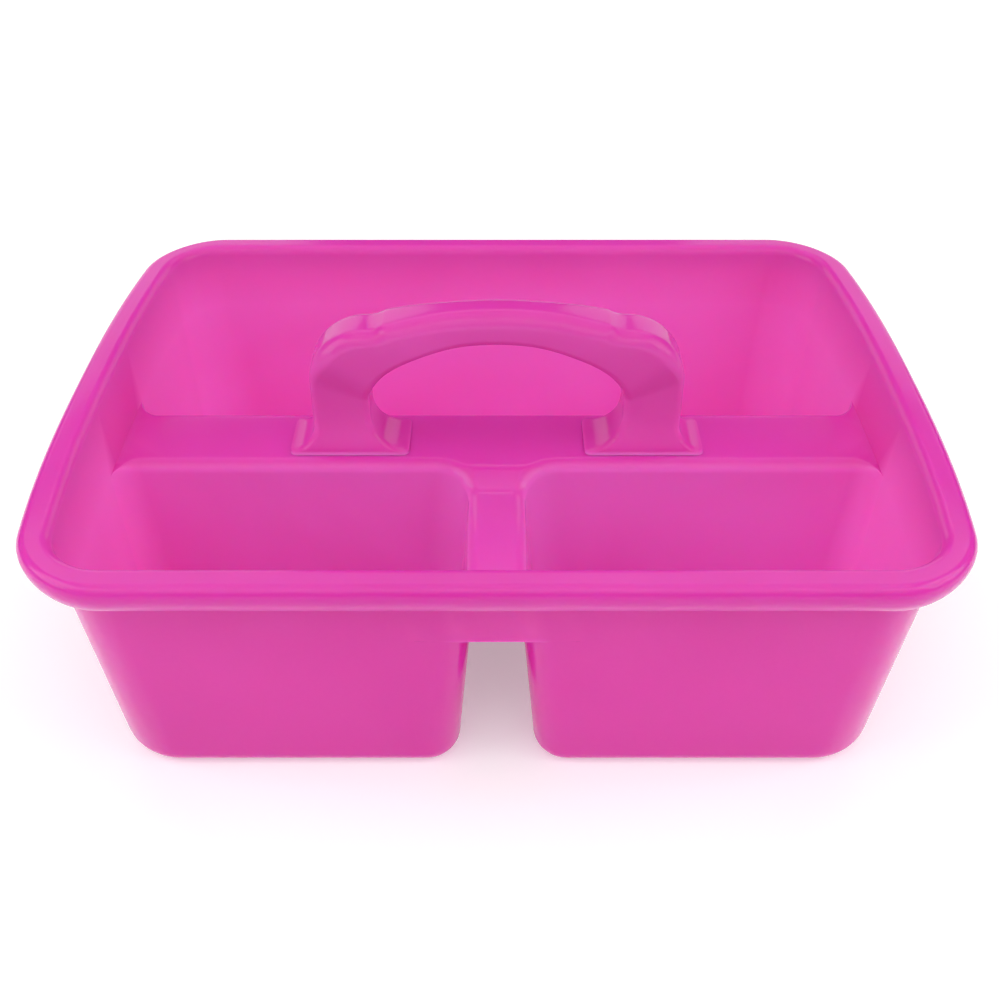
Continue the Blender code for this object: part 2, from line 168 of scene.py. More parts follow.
# How far red, green and blue light travel inside each piece's plastic
TRAY_BLEED = (0.0050, 0.0016, 0.0030)
HANDLE_BLEED = (0.0016, 0.0008, 0.0012)
GLOSS = 0.13  # roughness of the unscuffed plastic
RIPPLE_SHARE = 6.0  # the ripple's height against the grain's
BUMP_STRENGTH = 0.10
BUMP_DEPTH = 0.00012

ZINC_TINTS = ((0.60, 0.62, 0.66, 1.0), (0.74, 0.74, 0.72, 1.0))
ZINC_GLOSS = (0.24, 0.42)
ZINC_BUMP_STRENGTH = 0.25
ZINC_BUMP_DEPTH = 0.00005

# Stage and camera
FLOOR_HALF = 6.0
FLOOR_GAP = 0.0002
FLOOR_TINTS = ((0.90, 0.90, 0.90, 1.0), (0.94, 0.94, 0.94, 1.0))
# The floor's own glow, as far out as the first distance and, where the lamps fade, from the second on
FLOOR_GLOW = 0.29
FAR_GLOW = 0.60
NEAR_FLOOR = 0.7
FAR_FLOOR = 1.5
WORLD_STRENGTH = 0.02
LIGHTS = (
    # name, (degrees from the back towards the right, degrees up), (degrees wide, degrees high), radiance
    ("overhead", (180.0, 80.0), (60.0, 60.0), 1.15),
    ("front", (180.0, 45.0), (60.0, 36.0), 1.15),
    ("left", (-105.0, 32.0), (40.0, 40.0), 2.35),
    ("right", (105.0, 32.0), (40.0, 40.0), 2.25),
    ("back_high", (0.0, 54.0), (70.0, 24.0), 1.2),
    ("back_left", (-27.0, 15.0), (26.0, 30.0), 1.0),
    ("back_right", (27.0, 15.0), (26.0, 30.0), 0.9),
)
LIGHT_DISTANCE = 1.5
LIGHT_TARGET = Vector((0.0, 0.0, 0.12))
VIEW_GAMMA = 1.15
SENSOR = 36.0
FOCAL_SHARE = 1.206  # focal length as a share of the sensor's width
CAMERA_DISTANCE = 0.620
CAMERA_RISE = math.radians(38.2)  # how far down the camera looks
TARGET_HEIGHT = 0.0548  # where the middle of its view meets the object's axis
CAMERA_SHIFT = 0.0032  # as a share of the sensor's width


def wall_top():
    return HEIGHT - RIM_ROUND


def wall_half(outer_size):
    """Half the inside of the tray at the ridge's height, across a side that is outer_size over the rim."""
    return outer_size / 2 - RIM_INSET - (wall_top() - RIDGE_TOP) * LEAN


def compartments():
    """The rear, left and right compartments' corners at the ridge's height.

    They go counterclockwise from the front right. A corner is (x, y, radius, roll at its start, roll at its
    end). The roll is 1 along the divider, whose top edge is rounded over, and 0 along the outer wall. A
    corner with no radius takes the outer wall's.
    """
    end = wall_half(LENGTH)
    side = wall_half(WIDTH)
    half = DIVIDER_HALF_WIDTH
    rear = (
        (end, RIDGE_HALF_WIDTH, JUNCTION_FILLET, 1, 0),
        (end, side, None, 0, 0),
        (-end, side, None, 0, 0),
        (-end, RIDGE_HALF_WIDTH, JUNCTION_FILLET, 0, 1),
    )
    left = (
        (-half, -side, JUNCTION_FILLET, 0, 1),
        (-half, -RIDGE_HALF_WIDTH, T_FILLET, 1, 1),
        (-end, -RIDGE_HALF_WIDTH, JUNCTION_FILLET, 1, 0),
        (-end, -side, None, 0, 0),
    )
    right = (
        (end, -side, None, 0, 0),
        (end, -RIDGE_HALF_WIDTH, JUNCTION_FILLET, 0, 1),
        (half, -RIDGE_HALF_WIDTH, T_FILLET, 1, 1),
        (half, -side, JUNCTION_FILLET, 1, 0),
    )
    return rear, left, right


def corner_reach(radius, z):
    """How far a corner's arc centre lies from the corner along each side, at height z."""
    if radius is None:
        depth = max(0.0, wall_top() - z)
        return RIM_CORNER - RIM_INSET + (CORNER_GROWTH + LEAN) * depth - LEAN * (wall_top() - RIDGE_TOP)
    depth = max(0.0, RIDGE_TOP - z)
    return radius + (CORNER_GROWTH + LEAN) * depth


def compartment_outline(corners, z, inset, roll):
    """Points round a compartment, moved inwards by inset, with its divider edges moved outwards by roll."""
    arcs = []
    for quarter, (x, y, radius, roll_start, roll_end) in enumerate(corners):
        toward_x = 1 if quarter in (0, 1) else -1
        toward_y = 1 if quarter in (1, 2) else -1
        reach = corner_reach(radius, z)
        centre_x = x - toward_x * reach
        centre_y = y - toward_y * reach
        arc = []
        for step in range(CORNER_STEPS + 1):
            share = step / CORNER_STEPS
            angle = QUARTER * (quarter - 1 + share)
            from_wall = roll_start + (roll_end - roll_start) * share
            distance = reach - inset + roll * (1 - (1 - from_wall**3) ** 2)
            arc.append((centre_x + distance * math.cos(angle), centre_y + distance * math.sin(angle)))
        arcs.append(arc)
    points = []
    for arc, following in zip(arcs, arcs[1:] + arcs[:1]):
        points += arc + between(arc[-1], following[0], SIDE_STEPS)
    return points


def between(start, end, steps):
    """The points that part a straight stretch into equal steps, without its ends."""
    return [tuple(a + (b - a) * step / steps for a, b in zip(start, end)) for step in range(1, steps)]


def cyclic(items, first, last):
    """The items from index first round to index last."""
    return [items[(first + k) % len(items)] for k in range((last - first) % len(items) + 1)]


def wall_span(corners):
    """The first and last points of a compartment's outline that lie on the outer wall."""
    stride = CORNER_STEPS + SIDE_STEPS
    rolls = [corner[3:] for corner in corners]
    return rolls.index((1, 0)) * stride + CORNER_STEPS, rolls.index((0, 1)) * stride


def compartment_profile(offset):
    """Rings from the floor to the ridge's height as (z, inset, roll), this far below the inside."""
    rings = []
    fillet_z = WALL + FLOOR_FILLET
    fillet_inset = (RIDGE_TOP - fillet_z) * LEAN + FLOOR_FILLET / math.cos(DRAFT)
    fillet = FLOOR_FILLET + offset
    for step in range(ROLL_STEPS + 1):
        angle = (QUARTER - DRAFT) * step / ROLL_STEPS
        rings.append((fillet_z - fillet * math.cos(angle), fillet_inset - fillet * math.sin(angle), 0.0))
    edge = DIVIDER_ROUND - offset
    edge_inset = DIVIDER_ROUND * (LEAN - 1 / math.cos(DRAFT))
    for step in range(ROLL_STEPS + 1):
        angle = DRAFT + (QUARTER - DRAFT) * step / ROLL_STEPS
        z = RIDGE_TOP - DIVIDER_ROUND + edge * math.sin(angle)
        wall_inset = (RIDGE_TOP - z) * LEAN - offset / math.cos(DRAFT)
        rings.append((z, wall_inset, wall_inset - edge_inset - edge * math.cos(angle)))
    return rings


def rim_profile(offset):
    """Rings from the wall's top over the rim to the skirt's foot, as (z, distance in from the rim's edge)."""
    turn = RIM_ROUND - offset
    rings = []
    for step in range(ROLL_STEPS + 1):
        angle = DRAFT + (QUARTER - DRAFT) * step / ROLL_STEPS
        rings.append((wall_top() + turn * math.sin(angle), RIM_INSET - RIM_ROUND + turn * math.cos(angle)))
    for step in range(ROLL_STEPS + 1):
        angle = QUARTER * step / ROLL_STEPS
        rings.append((wall_top() + turn * math.cos(angle), RIM_ROUND - turn * math.sin(angle)))
    for step in range(1, SKIRT_STEPS + 1):
        share = step / SKIRT_STEPS
        z = wall_top() - (SKIRT_DROP - RIM_ROUND) * share
        rings.append((z, SKIRT_TUCK * share**2 + offset))
    return rings


def rim_outline(distance_in):
    """Points round the tray this far in from the rim's edge, in step with the compartments' wall points."""
    inset = distance_in - RIM_INSET - (wall_top() - RIDGE_TOP) * LEAN
    stretches = []
    for corners in compartments():
        outline = compartment_outline(corners, wall_top(), inset, 0.0)
        stretches.append(cyclic(outline, *wall_span(corners)))
    points = []
    for stretch, following in zip(stretches, stretches[1:] + stretches[:1]):
        points += stretch + between(stretch[-1], following[0], END_STEPS)
    return points


def ease(value, start, end):
    """0 at the start, 1 at the end, and level at both."""
    share = min(1.0, max(0.0, (value - start) / (end - start)))
    return share**2 * (3 - 2 * share)


def dip(x, y, z):
    """How far the front divider's surface lies below the ridge's, for a point at height z on the ridge."""
    if z > RIDGE_TOP:
        return 0.0
    forward = ease(-y, RIDGE_HALF_WIDTH, RIDGE_HALF_WIDTH + T_FILLET)
    beside = 1 - ease(abs(x), *DIVIDER_REACH)
    floor = WALL + FLOOR_FILLET
    return DIVIDER_DROP * forward * beside * max(0.0, (z - floor) / (RIDGE_TOP - floor))


def add_ring(builder, points, z):
    """Vertices at height z, drawn in towards the front and back so that the tray's ends are bowed."""
    ring = []
    for x, y in points:
        bow = END_BOW / (LENGTH / 2) * abs(y / (WIDTH / 2)) ** BOW_POWER
        ring.append(builder.verts.new((x * (1 - bow), y, z - dip(x, y, z))))
    return ring


def bridge(builder, ring, following):
    """Quads from one counterclockwise ring to the next, facing inwards where the rings climb."""
    for i, corner in enumerate(ring):
        j = (i + 1) % len(ring)
        builder.faces.new((ring[j], corner, following[i], following[j]))


def grade_ramp(builder, top, offset):
    """Gives the T's flat top rows of vertices where the front divider falls away from the ridge."""
    rows = [-RIDGE_HALF_WIDTH - T_FILLET * step / RAMP_STEPS for step in range(RAMP_STEPS + 1)]
    faces = [top]
    for y in rows:
        edges = {edge for face in faces for edge in face.edges}
        verts = {vert for face in faces for vert in face.verts}
        geometry = faces + list(edges) + list(verts)
        made = bmesh.ops.bisect_plane(
            builder, geom=geometry, dist=CUT_TOLERANCE, plane_co=(0, y, 0), plane_no=(0, 1, 0)
        )
        faces = [item for item in made["geom"] if isinstance(item, bmesh.types.BMFace)]
    for vert in {vert for face in faces for vert in face.verts}:
        vert.co.z = RIDGE_TOP - offset - dip(vert.co.x, vert.co.y, RIDGE_TOP)


def tray_surface(builder, offset):
    """The tray's inside as a sheet, or the sheet this far below it. Returns the ring at the skirt's foot."""
    tops = []
    for corners in compartments():
        profile = compartment_profile(offset)
        outlines = [compartment_outline(corners, *level) for level in profile]
        rings = [add_ring(builder, outline, level[0]) for outline, level in zip(outlines, profile)]
        builder.faces.new(rings[0])
        for ring, following in zip(rings, rings[1:]):
            bridge(builder, ring, following)
        tops.append((rings[-1], outlines[-1], *wall_span(corners)))
    wall = []
    divider_top = []
    for (ring, outline, first, last), following in zip(tops, tops[1:] + tops[:1]):
        gap = between(outline[last], following[1][following[2]], END_STEPS)
        gap_ring = add_ring(builder, gap, RIDGE_TOP - offset)
        wall += cyclic(ring, first, last) + gap_ring
        divider_top += list(reversed(cyclic(ring, last, first))) + gap_ring
    grade_ramp(builder, builder.faces.new(divider_top), offset)
    rings = [wall] + [add_ring(builder, rim_outline(distance), z) for z, distance in rim_profile(offset)]
    for ring, following in zip(rings, rings[1:]):
        bridge(builder, ring, following)
    return rings[-1]


def arc(centre_x, centre_z, half_x, half_z, start, end, steps):
    """Points along part of an ellipse, with angles in quarter turns from +X towards +Z."""
    points = []
    for step in range(steps + 1):
        angle = QUARTER * (start + (end - start) * step / steps)
        points.append((centre_x + half_x * math.cos(angle), centre_z + half_z * math.sin(angle)))
    return points


def curve(start, middle, end, steps):
    """Points along a quadratic curve, without its ends."""
    points = []
    for step in range(1, steps):
        t = step / steps
        pull = 2 * t * (1 - t)
        points.append(tuple((1 - t) ** 2 * a + pull * b + t**2 * c for a, b, c in zip(start, middle, end)))
    return points


def crown_height(x, drop=0.0):
    return CROWN_TOP - CROWN_RADIUS + math.sqrt((CROWN_RADIUS - drop) ** 2 - x**2)


def outer_side():
    """The handle's right-hand outer outline, up from the foot to the middle of the crown."""
    flare = RIDGE_TOP + CONTACT_GAP + FOOT_EDGE
    turn = FOOT_OUTER_FLARE
    foot = arc(POST_OUTER + turn, flare + turn, turn, turn, 3, 2, CORNER_STEPS)
    bend = POST_OUTER - SHOULDER_ROUND
    shoulder = arc(bend, POST_TOP - SHOULDER_ROUND, SHOULDER_ROUND, SHOULDER_ROUND, 0, 1, SHOULDER_STEPS)
    crown_end = (CROWN_END, crown_height(CROWN_END))
    post = between(foot[-1], shoulder[0], POST_STEPS)
    valley = curve(shoulder[-1], ((bend + CROWN_END) / 2, POST_TOP), crown_end, CREASE_STEPS)
    crown = [(x, crown_height(x)) for x, _ in between(crown_end, (0, 0), CROWN_STEPS)]
    top = [crown_end] + crown + [(0, CROWN_TOP)]
    return [(foot[0][0], flare - FOOT_EDGE)] + foot + post + shoulder + valley + top


def inner_side(count):
    """The outline of the hand opening on the right, in step with the outer outline's points."""
    flare = RIDGE_TOP + CONTACT_GAP + FOOT_EDGE
    turn = FOOT_INNER_FLARE
    foot = arc(POST_INNER - turn, flare + turn, turn, turn, 3, 4, CORNER_STEPS)
    palm_start = (POST_INNER, PALM_SPRING)
    post = between(foot[-1], palm_start, POST_STEPS)
    before = [(foot[0][0], flare - FOOT_EDGE)] + foot + post
    palm = arc(0, PALM_SPRING, POST_INNER, PALM_TOP - PALM_SPRING, 0, 1, count - len(before) - 1)
    return before + palm


def depths(outer):
    """Half the handle's depth, and its outer and inner edges' radii, at a point of the outer outline."""
    x, z = outer
    flare = RIDGE_TOP + CONTACT_GAP + FOOT_INNER_FLARE
    if x >= POST_OUTER or z < flare:
        share = min(1.0, max(0.0, (flare - z) / FOOT_INNER_FLARE))
        return POST_HALF_DEPTH + FOOT_FRONT_FLARE * (1 - math.sqrt(1 - share**2)), POST_EDGE, POST_EDGE
    shoulder = ease(z, POST_TOP - SHOULDER_ROUND, POST_TOP - SHOULDER_ROUND / 3)
    grip = 1 - ease(x, CROWN_END / 3, POST_INNER)
    half = POST_HALF_DEPTH + (SHOULDER_HALF_DEPTH - POST_HALF_DEPTH) * shoulder
    edge = POST_EDGE + (SHOULDER_EDGE - POST_EDGE) * shoulder
    return half + (GRIP_HALF_DEPTH - half) * grip, edge + (GRIP_EDGE - edge) * grip, PALM_EDGE


def section(outer, inner, half, outer_edge, inner_edge):
    """A ring round the handle, in the plane of Y and the line from the inner outline to the outer one."""
    span = math.dist(outer, inner)
    along = [(a - b) / span for a, b in zip(outer, inner)]
    corners = (
        (outer, 1, outer_edge),
        (inner, -1, inner_edge),
        (inner, -1, inner_edge),
        (outer, 1, outer_edge),
    )
    ring = []
    for quarter, (corner, sign, edge) in enumerate(corners):
        side = 1 if quarter in (0, 1) else -1
        for step in range(EDGE_STEPS + 1):
            angle = QUARTER * (quarter + step / EDGE_STEPS)
            reach = edge * (math.cos(angle) - sign)
            y = side * (half - edge) + edge * math.sin(angle)
            ring.append((corner[0] + along[0] * reach, y, corner[1] + along[1] * reach))
    return ring


def handle_body():
    outer = outer_side()
    right = [section(a, b, *depths(a)) for a, b in zip(outer, inner_side(len(outer)))]
    left = [[(-x, y, z) for x, y, z in ring] for ring in reversed(right[:-1])]
    builder = bmesh.new()
    rings = [[builder.verts.new(point) for point in ring] for ring in right + left]
    for ring, following in zip(rings, rings[1:]):
        bridge(builder, ring, following)
    builder.faces.new(rings[0])
    builder.faces.new(list(reversed(rings[-1])))
    return builder


def slab(builder, outline, half):
    """An XZ outline, clockwise as seen from the front, made solid this far to the front and back."""
    near = [builder.verts.new((x, -half, z)) for x, z in outline]
    far = [builder.verts.new((x, half, z)) for x, z in outline]
    builder.faces.new(list(reversed(near)))
    builder.faces.new(far)
    for i, corner in enumerate(near):
        j = (i + 1) % len(near)
        builder.faces.new((corner, near[j], far[j], far[i]))


def post_hollow(side):
    """The space inside a post, open at its foot."""
    low = RIDGE_TOP + CONTACT_GAP - OVERCUT
    edges = [side * (POST_INNER + HANDLE_WALL), side * (POST_OUTER - HANDLE_WALL)]
    left, right = min(edges), max(edges)
    outline = [(left, low), (left, POST_HOLLOW_TOP), (right, POST_HOLLOW_TOP), (right, low)]
    builder = bmesh.new()
    slab(builder, outline, POST_HALF_DEPTH - HANDLE_WALL)
    return builder


def grip_hollow():
    """The bays along the underside of the grip, with a rib between each two."""
    builder = bmesh.new()
    pitch = 2 * GRIP_HOLLOW_HALF / GRIP_BAYS
    for bay in range(GRIP_BAYS):
        left = -GRIP_HOLLOW_HALF + bay * pitch + RIB_THICKNESS / 2
        right = left + pitch - RIB_THICKNESS
        roof = []
        floor = []
        for step in range(BAY_STEPS + 1):
            x = left + (right - left) * step / BAY_STEPS
            palm = PALM_SPRING + (PALM_TOP - PALM_SPRING) * math.sqrt(1 - (x / POST_INNER) ** 2)
            roof.append((x, crown_height(x, HANDLE_WALL)))
            floor.append((x, palm - OVERCUT))
        slab(builder, roof + list(reversed(floor)), GRIP_HOLLOW_HALF_DEPTH)
    return builder


def screw_places():
    inner, outer = SCREW_X
    return -outer, -inner, inner, outer


def upright_cylinder(radius, low, high, x):
    builder = bmesh.new()
    place = Matrix.Translation((x, 0, (low + high) / 2))
    bmesh.ops.create_cone(
        builder,
        cap_ends=True,
        segments=TURN_STEPS,
        radius1=radius,
        radius2=radius,
        depth=high - low,
        matrix=place,
    )
    return builder


def carved(body, builders):
    """The body's bmesh with the solids of the other bmeshes taken out of it, all of them used up."""
    meshes = []
    for builder in [body] + builders:
        mesh = bpy.data.meshes.new("carving")
        builder.to_mesh(mesh)
        builder.free()
        meshes.append(mesh)
    target, *tools = [bpy.data.objects.new("carving", mesh) for mesh in meshes]
    for made in [target] + tools:
        bpy.context.collection.objects.link(made)
    for tool in tools:
        change = target.modifiers.new("carve", "BOOLEAN")
        change.operation = "DIFFERENCE"
        change.solver = "EXACT"
        change.object = tool
    result = bmesh.new()
    result.from_object(target, bpy.context.evaluated_depsgraph_get())
    for made in [target] + tools:
        bpy.data.objects.remove(made, do_unlink=True)
    return result


def finished(name, builder, sharp):
    """A smooth-shaded object whose broad faces keep their own normals."""
    builder.normal_update()
    bmesh.ops.triangulate(builder, faces=[face for face in builder.faces if len(face.verts) > 4])
    mesh = bpy.data.meshes.new(name)
    builder.to_mesh(mesh)
    builder.free()
    mesh.shade_smooth()
    mesh.set_sharp_from_angle(angle=sharp)
    made = bpy.data.objects.new(name, mesh)
    bpy.context.collection.objects.link(made)
    weigh = made.modifiers.new("even_normals", "WEIGHTED_NORMAL")
    weigh.keep_sharp = True
    weigh.weight = BROAD_FACE_WEIGHT
    return made


def build_tray():
    """The tray's two sheets joined at the skirt's foot, with the painted fill light's strength as a vertex
    attribute.
    """
    builder = bmesh.new()
    under_foot = tray_surface(builder, WALL)
    bmesh.ops.reverse_faces(builder, faces=builder.faces[:])
    first_inside = len(builder.verts)
    foot = tray_surface(builder, 0.0)
    bridge(builder, foot, under_foot)
    tray = finished("tray_moulding", builder, TRAY_SHARP)
    # Painted fill light over the tray's inside, and painted light on the rim's upward faces
    film = tray.data.attributes.new("film", "FLOAT", "POINT")
    outside = len(foot) * (ROLL_STEPS + 1 + SKIRT_STEPS)
    for vertex in tray.data.vertices[first_inside:-outside]:
        film.data[vertex.index].value = max(painted_fill_inside(vertex), rim_top_painted_light(vertex))
    for vertex in tray.data.vertices[-outside:]:
        film.data[vertex.index].value = rim_top_painted_light(vertex)
    return tray


def painted_fill_inside(vertex):
    """How much painted fill light a vertex of the tray's inside carries, lifting the compartments' shade.
    Less on the dividers' upward faces.
    """
    below_rim = HEIGHT - vertex.co.z
    inside = (ease(below_rim, 0.0, RIM_ROUND) + ease(below_rim, RIM_ROUND, HEIGHT - RIDGE_TOP)) / 2
    on_divider = ease(vertex.co.z, WALL + FLOOR_FILLET, RIDGE_TOP - 2 * DIVIDER_DROP)
    on_ridge = ease(vertex.co.z, RIDGE_TOP - DIVIDER_DROP, RIDGE_TOP)
    fill_cut = DIVIDER_TOP_FILL_CUT * on_divider + (RIDGE_TOP_FILL_CUT - DIVIDER_TOP_FILL_CUT) * on_ridge
    return inside * (1 - fill_cut * ease(vertex.normal.z, *DIVIDER_FACING))


# Painted light that pales the rim's upward faces
def rim_top_painted_light(vertex):
    return RIM_TOP_PAINTED_LIGHT * ease(vertex.normal.z, *RIM_FACING)


def build_handle():
    """The handle, carved by its hollows. Each post's hollow has room left in it for two screw bosses."""
    foot = RIDGE_TOP + CONTACT_GAP
    body = handle_body()
    bmesh.ops.triangulate(body, faces=[face for face in body.faces if len(face.verts) > 4])
    boss_foot = foot - 2 * OVERCUT
    boss_top = POST_HOLLOW_TOP + OVERCUT
    bosses = [upright_cylinder(BOSS_RADIUS, boss_foot, boss_top, x) for x in screw_places()]
    hollows = [
        carved(post_hollow(-1), bosses[:2]),
        carved(post_hollow(1), bosses[2:]),
        grip_hollow(),
    ]
    bore_top = RIDGE_TOP - WALL + SCREW_LENGTH + BOSS_SPARE_DEPTH
    bore_radius = SCREW_RADIUS + HOLE_CLEARANCE
    bores = [upright_cylinder(bore_radius, foot - OVERCUT, bore_top, x) for x in screw_places()]
    handle = finished("handle_moulding", carved(body, hollows + bores), HANDLE_SHARP)
    # Painted fill light on the handle's faces that do not look up, lifting their shade
    film = handle.data.attributes.new("film", "FLOAT", "POINT")
    for vertex in handle.data.vertices:
        film.data[vertex.index].value = HANDLE_SIDE_PAINTED_FILL * (1 - ease(vertex.normal.z, *HANDLE_FACING))
    return handle


# ---- Materials ----


def new_material(name):
    material = bpy.data.materials.new(name)
    material.use_nodes = True
    material.node_tree.nodes.clear()
    return material


def add_node(material, kind, inputs=None, **settings):
    """A shader node. The inputs are constants, or (node, output name) pairs to link from."""
    made = material.node_tree.nodes.new(kind)
    for key, value in settings.items():
        setattr(made, key, value)
    for key, value in (inputs or {}).items():
        if isinstance(value, tuple) and len(value) == 2 and hasattr(value[0], "outputs"):
            material.node_tree.links.new(value[0].outputs[value[1]], made.inputs[key])
        else:
            made.inputs[key].default_value = value
    return made


def noise(material, place, scale, detail=3.0, roughness=0.5, distortion=0.0):
    settings = {"Vector": (place, "Vector"), "Scale": scale, "Detail": detail, "Roughness": roughness}
    return add_node(material, "ShaderNodeTexNoise", {**settings, "Distortion": distortion})


def stretched(material, coordinates, scale):
    inputs = {"Vector": (coordinates, "Object"), "Scale": scale}
    return add_node(material, "ShaderNodeMapping", inputs)


def mapped(material, source, output, low, high, new_low, new_high):
    """A Map Range node, from the range of the source's output to a new one."""
    inputs = {
        "Value": (source, output),
        "From Min": low,
        "From Max": high,
        "To Min": new_low,
        "To Max": new_high,
    }
    return add_node(material, "ShaderNodeMapRange", inputs)


def combine(material, operation, first, second):
    """A Math node. Each operand is a constant or a (node, output name) pair."""
    made = add_node(material, "ShaderNodeMath", operation=operation)
    for socket, value in zip(made.inputs, (first, second)):
        if isinstance(value, tuple):
            material.node_tree.links.new(value[0].outputs[value[1]], socket)
        else:
            socket.default_value = value
    return made


def mixed_colour(material, factor, first, second):
    """A Mix node for colours. Each operand is a constant or a (node, output name) pair."""
    made = add_node(material, "ShaderNodeMix", data_type="RGBA")
    pairs = ((made.inputs[0], factor), (made.inputs[6], first), (made.inputs[7], second))
    for socket, value in pairs:
        if isinstance(value, tuple) and hasattr(value[0], "outputs"):
            material.node_tree.links.new(value[0].outputs[value[1]], socket)
        else:
            socket.default_value = value
    return made


def rough_surface(material, strength, depth, height):
    inputs = {"Strength": strength, "Distance": depth, "Height": height}
    return add_node(material, "ShaderNodeBump", inputs)


def pink_plastic(name, seed, pigments, bleed):
    """Glossy moulded polypropylene: cloudy pigment, a faint ripple, fine scuffs, rubbed edges and painted
    fill light.

    The seed shifts the noise, so that no two pieces have the same clouds.
    """
    material = new_material(name)
    coordinates = add_node(material, "ShaderNodeTexCoord")
    place = stretched(material, coordinates, (1.0, 1.0, 1.0))
    place.inputs["Location"].default_value = (seed, seed * 0.7, seed * 0.3)
    cloud = noise(material, place, 9.0, detail=2.0, roughness=0.45, distortion=0.4)
    grain = noise(material, place, 520.0, detail=2.0)
    ripple = noise(material, place, 55.0, detail=1.5)
    scuff_place = stretched(material, coordinates, (70.0, 600.0, 600.0))
    scuff = noise(material, scuff_place, 1.0, detail=2.0, roughness=0.5)
    wear = noise(material, place, 38.0, detail=4.0, roughness=0.6)
    shape = add_node(material, "ShaderNodeNewGeometry")

    clouded = mapped(material, cloud, "Fac", 0.35, 0.65, 0.0, 1.0)
    pigment = mixed_colour(material, (clouded, "Result"), *pigments)
    edge = mapped(material, shape, "Pointiness", 0.515, 0.56, 0.0, 0.6)
    broken_edge = combine(material, "MULTIPLY", (edge, "Result"), (wear, "Fac"))
    rubbed = mixed_colour(material, (broken_edge, "Value"), (pigment, "Result"), PIGMENT_RUBBED)
    # Painted fill and painted light, read from each piece's vertex attribute and made uneven by the pigment's
    # clouds
    painted_fill_source = add_node(material, "ShaderNodeAttribute", attribute_name="film")
    fill_low = PAINTED_FILL_STRENGTH * (1 - PAINTED_FILL_UNEVENNESS)
    fill_high = PAINTED_FILL_STRENGTH * (1 + PAINTED_FILL_UNEVENNESS)
    uneven = mapped(material, cloud, "Fac", 0.3, 0.7, fill_low, fill_high)
    film = combine(material, "MULTIPLY", (painted_fill_source, "Fac"), (uneven, "Result"))
    colour = mixed_colour(material, (film, "Value"), (rubbed, "Result"), PAINTED_FILL_COLOUR)

    scuffed = mapped(material, scuff, "Fac", 0.55, 0.85, 0.0, 0.06)
    cloudy_gloss = mapped(material, wear, "Fac", 0.3, 0.7, GLOSS - 0.02, GLOSS + 0.03)
    rough = combine(material, "ADD", (scuffed, "Result"), (cloudy_gloss, "Result"))

    height = combine(material, "MULTIPLY_ADD", (ripple, "Fac"), RIPPLE_SHARE)
    material.node_tree.links.new(grain.outputs["Fac"], height.inputs[2])
    bump = rough_surface(material, BUMP_STRENGTH, BUMP_DEPTH, (height, "Value"))
    shader = add_node(
        material,
        "ShaderNodeBsdfPrincipled",
        {"Base Color": (colour, "Result"), "Roughness": (rough, "Value"), "Normal": (bump, "Normal")},
    )
    shader.inputs["IOR"].default_value = 1.49
    shader.inputs["Specular IOR Level"].default_value = 0.22
    shader.inputs["Subsurface Weight"].default_value = 1.0
    shader.inputs["Subsurface Radius"].default_value = bleed
    shader.inputs["Subsurface Scale"].default_value = 1.0
    add_node(material, "ShaderNodeOutputMaterial", {"Surface": (shader, "BSDF")})
    return material


def zinc_plate():
    """Bright zinc on steel: faint spangle, turning marks and a slightly blue cast."""
    material = new_material("zinc_plate")
    coordinates = add_node(material, "ShaderNodeTexCoord")
    place = stretched(material, coordinates, (1.0, 1.0, 1.0))
    turning_place = stretched(material, coordinates, (300.0, 300.0, 5000.0))
    spangle = add_node(material, "ShaderNodeTexVoronoi", {"Vector": (place, "Vector"), "Scale": 1400.0})
    turning = noise(material, turning_place, 1.0, detail=2.0)
    tint = mixed_colour(material, (spangle, "Distance"), *ZINC_TINTS)
    rough = mapped(material, turning, "Fac", 0.3, 0.7, *ZINC_GLOSS)
    bump = rough_surface(material, ZINC_BUMP_STRENGTH, ZINC_BUMP_DEPTH, (turning, "Fac"))
    shader = add_node(
        material,
        "ShaderNodeBsdfPrincipled",
        {"Base Color": (tint, "Result"), "Roughness": (rough, "Result"), "Normal": (bump, "Normal")},
    )
    shader.inputs["Metallic"].default_value = 1.0
    add_node(material, "ShaderNodeOutputMaterial", {"Surface": (shader, "BSDF")})
    return material


def pale_floor():
    material = new_material("pale_floor")
    coordinates = add_node(material, "ShaderNodeTexCoord")
    place = stretched(material, coordinates, (1.0, 1.0, 1.0))
    mottle = noise(material, place, 3.0)
    tint = mixed_colour(material, (mottle, "Fac"), *FLOOR_TINTS)
    from_middle = {"Vector": (coordinates, "Object")}
    reach = add_node(material, "ShaderNodeVectorMath", from_middle, operation="LENGTH")
    glow = mapped(material, reach, "Value", NEAR_FLOOR, FAR_FLOOR, FLOOR_GLOW, FAR_GLOW)
    shader = add_node(
        material,
        "ShaderNodeBsdfPrincipled",
        {"Base Color": (tint, "Result"), "Emission Strength": (glow, "Result")},
    )
    shader.inputs["Roughness"].default_value = 0.8
    shader.inputs["Specular IOR Level"].default_value = 0.1
    shader.inputs["Emission Color"].default_value = (1.0, 1.0, 1.0, 1.0)
    add_node(material, "ShaderNodeOutputMaterial", {"Surface": (shader, "BSDF")})
    return material


# ---- Stage ----


def build_floor(material):
    builder = bmesh.new()
    bmesh.ops.create_grid(builder, x_segments=1, y_segments=1, size=FLOOR_HALF)
    mesh = bpy.data.meshes.new("floor")
    builder.to_mesh(mesh)
    builder.free()
    floor = bpy.data.objects.new("floor", mesh)
    floor.location.z = TRAY_LOW.z - FLOOR_GAP
    mesh.materials.append(material)
    bpy.context.collection.objects.link(floor)


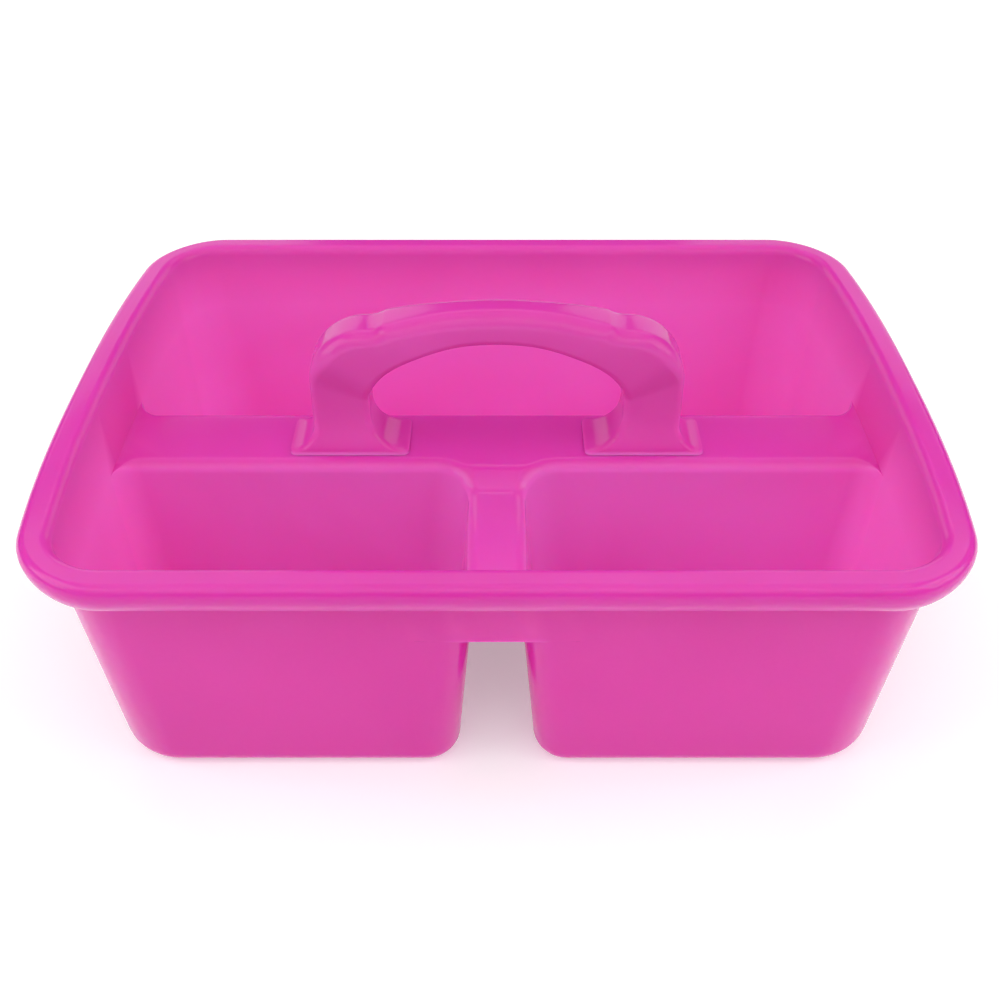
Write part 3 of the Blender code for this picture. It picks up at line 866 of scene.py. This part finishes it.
def soft_light(name, direction, spread, radiance):
    """A softbox that fills this spread of degrees as seen from the target, with a face of this radiance."""
    around, up = (math.radians(angle) for angle in direction)
    away = Vector((math.sin(around) * math.cos(up), math.cos(around) * math.cos(up), math.sin(up)))
    light = bpy.data.lights.new(name, "AREA")
    light.shape = "RECTANGLE"
    light.size, light.size_y = (2 * LIGHT_DISTANCE * math.tan(math.radians(angle) / 2) for angle in spread)
    light.energy = radiance * math.pi * light.size * light.size_y
    lamp = bpy.data.objects.new(name, light)
    lamp.location = LIGHT_TARGET + away * LIGHT_DISTANCE
    lamp.rotation_euler = (-away).to_track_quat("-Z", "Y").to_euler()
    bpy.context.collection.objects.link(lamp)


def light_stage():
    world = bpy.data.worlds.new("studio")
    world.use_nodes = True
    world.node_tree.nodes["Background"].inputs["Color"].default_value = (1.0, 1.0, 1.0, 1.0)
    world.node_tree.nodes["Background"].inputs["Strength"].default_value = WORLD_STRENGTH
    bpy.context.scene.world = world
    for light in LIGHTS:
        soft_light(*light)


def add_camera():
    camera = bpy.data.cameras.new("camera")
    camera.sensor_width = SENSOR
    camera.lens = FOCAL_SHARE * SENSOR
    camera.shift_x = CAMERA_SHIFT
    camera.clip_start = 0.01
    viewer = bpy.data.objects.new("camera", camera)
    reach = CAMERA_DISTANCE * math.cos(CAMERA_RISE)
    viewer.location = (0.0, -reach, TARGET_HEIGHT + CAMERA_DISTANCE * math.sin(CAMERA_RISE))
    viewer.rotation_euler = (QUARTER - CAMERA_RISE, 0.0, 0.0)
    bpy.context.collection.objects.link(viewer)
    bpy.context.scene.camera = viewer


def main():
    tray = build_tray()
    tray.data.materials.append(pink_plastic("tray_pink", 0.0, TRAY_PIGMENTS, TRAY_BLEED))
    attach(tray, "root")
    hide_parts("tray")

    handle = build_handle()
    handle.data.materials.append(pink_plastic("handle_pink", 3.7, HANDLE_PIGMENTS, HANDLE_BLEED))
    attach(handle, "root")
    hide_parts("handle")

    zinc = zinc_plate()
    for name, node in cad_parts.items():
        if name.startswith("handle_screw"):
            for slot in node.material_slots:
                slot.material = zinc

    build_floor(pale_floor())
    light_stage()
    add_camera()
    view = bpy.context.scene.view_settings
    view.view_transform = "Standard"
    view.gamma = VIEW_GAMMA


main()
